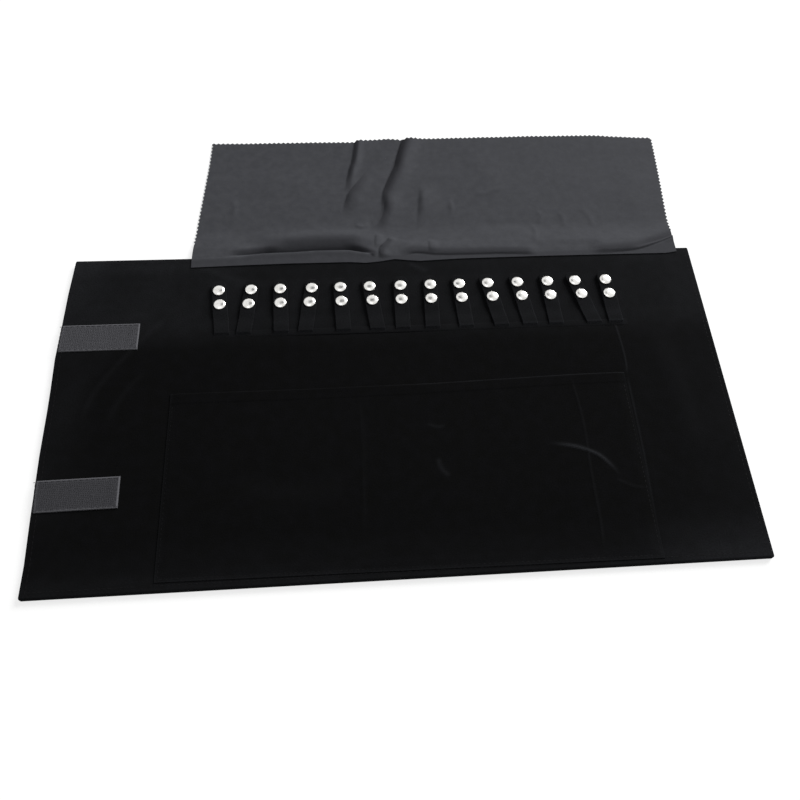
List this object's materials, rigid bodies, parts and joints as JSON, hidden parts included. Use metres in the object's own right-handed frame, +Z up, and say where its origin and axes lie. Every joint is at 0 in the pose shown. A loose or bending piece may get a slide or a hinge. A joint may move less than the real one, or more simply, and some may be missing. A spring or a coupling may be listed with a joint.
{
  "type": "jewelry roll",
  "caption": "Flat velvet jewelry roll with a row of snap straps, a long pocket, a cloth cover flap and hook-and-loop closing strips.",
  "frame": {"origin": "middle of the open panel, on its underside", "axes": "+X along the roll towards the end that is rolled in first, +Y towards the cover flap, +Z up from the velvet face"},
  "size_m": [0.49, 0.392, 0.009],
  "materials": {
    "velvet": "cut pile velvet, black",
    "padding": "thin foam wadding",
    "leatherette": "fine grained leatherette, black",
    "flap_cloth": "brushed cloth, charcoal",
    "hook_tape": "woven hook tape, dark grey",
    "loop_tape": "napped loop tape, black",
    "nickel": "polished nickel plate"
  },
  "bodies": {
    "closing_section": {"closing_back": "leatherette", "closing_padding": "padding", "closing_face": "velvet", "hook_strip_upper": "hook_tape", "hook_strip_lower": "hook_tape"},
    "base_section": {"base_back": "leatherette", "base_padding": "padding", "base_face": "velvet", "base_strap_welt": "velvet", "base_snap_studs": "nickel", "base_pocket": "velvet", "base_flap_hem": "flap_cloth"},
    "middle_section": {"middle_back": "leatherette", "middle_padding": "padding", "middle_face": "velvet", "middle_strap_welt": "velvet", "middle_snap_studs": "nickel", "middle_pocket": "velvet", "middle_flap_hem": "flap_cloth", "loop_strip_upper": "loop_tape", "loop_strip_lower": "loop_tape"},
    "inner_section": {"inner_back": "leatherette", "inner_padding": "padding", "inner_face": "velvet", "inner_strap_welt": "velvet", "inner_snap_studs": "nickel", "inner_pocket": "velvet", "inner_flap_hem": "flap_cloth"},
    "base_flap": {"base_flap": "flap_cloth"},
    "middle_flap": {"middle_flap": "flap_cloth"},
    "inner_flap": {"inner_flap": "flap_cloth"},
    "strap_01": {"strap_01": "velvet", "snap_pair_01": "nickel"},
    "strap_02": {"strap_02": "velvet", "snap_pair_02": "nickel"},
    "strap_03": {"strap_03": "velvet", "snap_pair_03": "nickel"},
    "strap_04": {"strap_04": "velvet", "snap_pair_04": "nickel"},
    "strap_05": {"strap_05": "velvet", "snap_pair_05": "nickel"},
    "strap_06": {"strap_06": "velvet", "snap_pair_06": "nickel"},
    "strap_07": {"strap_07": "velvet", "snap_pair_07": "nickel"},
    "strap_08": {"strap_08": "velvet", "snap_pair_08": "nickel"},
    "strap_09": {"strap_09": "velvet", "snap_pair_09": "nickel"},
    "strap_10": {"strap_10": "velvet", "snap_pair_10": "nickel"},
    "strap_11": {"strap_11": "velvet", "snap_pair_11": "nickel"},
    "strap_12": {"strap_12": "velvet", "snap_pair_12": "nickel"},
    "strap_13": {"strap_13": "velvet", "snap_pair_13": "nickel"},
    "strap_14": {"strap_14": "velvet", "snap_pair_14": "nickel"}
  },
  "joints": [
    {"name": "inner_fold", "type": "hinge", "parent": "middle_section", "child": "inner_section", "pos_m": [0.13695, 0, 0.01201], "axis": [0, -1, 0], "range_deg": [0, 179.9]},
    {"name": "middle_fold", "type": "hinge", "parent": "base_section", "child": "middle_section", "pos_m": [-0.00285, 0, 0.01831], "axis": [0, -1, 0], "range_deg": [0, 179.9]},
    {"name": "closing_fold", "type": "hinge", "parent": "base_section", "child": "closing_section", "pos_m": [-0.168, 0, 0.02188], "axis": [0, 1, 0], "range_deg": [0, 179.9]},
    {"name": "flap_fold", "type": "hinge", "parent": "base_section", "child": "base_flap", "pos_m": [0, 0.131, 0.00577], "axis": [1, 0, 0], "range_deg": [0, 179.9]},
    {"name": "middle_flap_fold", "type": "hinge", "parent": "middle_section", "child": "middle_flap", "pos_m": [0, 0.131, 0.00577], "axis": [1, 0, 0], "range_deg": [0, 179.9]},
    {"name": "inner_flap_fold", "type": "hinge", "parent": "inner_section", "child": "inner_flap", "pos_m": [0, 0.131, 0.00577], "axis": [1, 0, 0], "range_deg": [0, 179.9]},
    {"name": "strap_01_open", "type": "hinge", "parent": "base_section", "child": "strap_01", "pos_m": [-0.12787, 0.06, 0.00635], "axis": [1, 0, 0], "range_deg": [0, 177]},
    {"name": "strap_02_open", "type": "hinge", "parent": "base_section", "child": "strap_02", "pos_m": [-0.1117, 0.06, 0.00635], "axis": [1, 0, 0], "range_deg": [0, 177]},
    {"name": "strap_03_open", "type": "hinge", "parent": "base_section", "child": "strap_03", "pos_m": [-0.08355, 0.06, 0.00635], "axis": [1, 0, 0], "range_deg": [0, 177]},
    {"name": "strap_04_open", "type": "hinge", "parent": "base_section", "child": "strap_04", "pos_m": [-0.06538, 0.06, 0.00635], "axis": [1, 0, 0], "range_deg": [0, 177]},
    {"name": "strap_05_open", "type": "hinge", "parent": "base_section", "child": "strap_05", "pos_m": [-0.03638, 0.06, 0.00635], "axis": [1, 0, 0], "range_deg": [0, 177]},
    {"name": "strap_06_open", "type": "hinge", "parent": "base_section", "child": "strap_06", "pos_m": [-0.0105, 0.06, 0.00635], "axis": [1, 0, 0], "range_deg": [0, 177]},
    {"name": "strap_07_open", "type": "hinge", "parent": "middle_section", "child": "strap_07", "pos_m": [0.0088, 0.06, 0.00635], "axis": [1, 0, 0], "range_deg": [0, 177]},
    {"name": "strap_08_open", "type": "hinge", "parent": "middle_section", "child": "strap_08", "pos_m": [0.03153, 0.06, 0.00635], "axis": [1, 0, 0], "range_deg": [0, 177]},
    {"name": "strap_09_open", "type": "hinge", "parent": "middle_section", "child": "strap_09", "pos_m": [0.05739, 0.06, 0.00635], "axis": [1, 0, 0], "range_deg": [0, 177]},
    {"name": "strap_10_open", "type": "hinge", "parent": "middle_section", "child": "strap_10", "pos_m": [0.08473, 0.06, 0.00635], "axis": [1, 0, 0], "range_deg": [0, 177]},
    {"name": "strap_11_open", "type": "hinge", "parent": "middle_section", "child": "strap_11", "pos_m": [0.10687, 0.06, 0.00635], "axis": [1, 0, 0], "range_deg": [0, 177]},
    {"name": "strap_12_open", "type": "hinge", "parent": "middle_section", "child": "strap_12", "pos_m": [0.12701, 0.06, 0.00635], "axis": [1, 0, 0], "range_deg": [0, 177]},
    {"name": "strap_13_open", "type": "hinge", "parent": "inner_section", "child": "strap_13", "pos_m": [0.15672, 0.06, 0.00635], "axis": [1, 0, 0], "range_deg": [0, 177]},
    {"name": "strap_14_open", "type": "hinge", "parent": "inner_section", "child": "strap_14", "pos_m": [0.17361, 0.06, 0.00635], "axis": [1, 0, 0], "range_deg": [0, 177]}
  ],
  "couplings": [
    {"joint": "middle_flap_fold", "follows": "flap_fold", "ratio": 1},
    {"joint": "inner_flap_fold", "follows": "flap_fold", "ratio": 1}
  ]
}
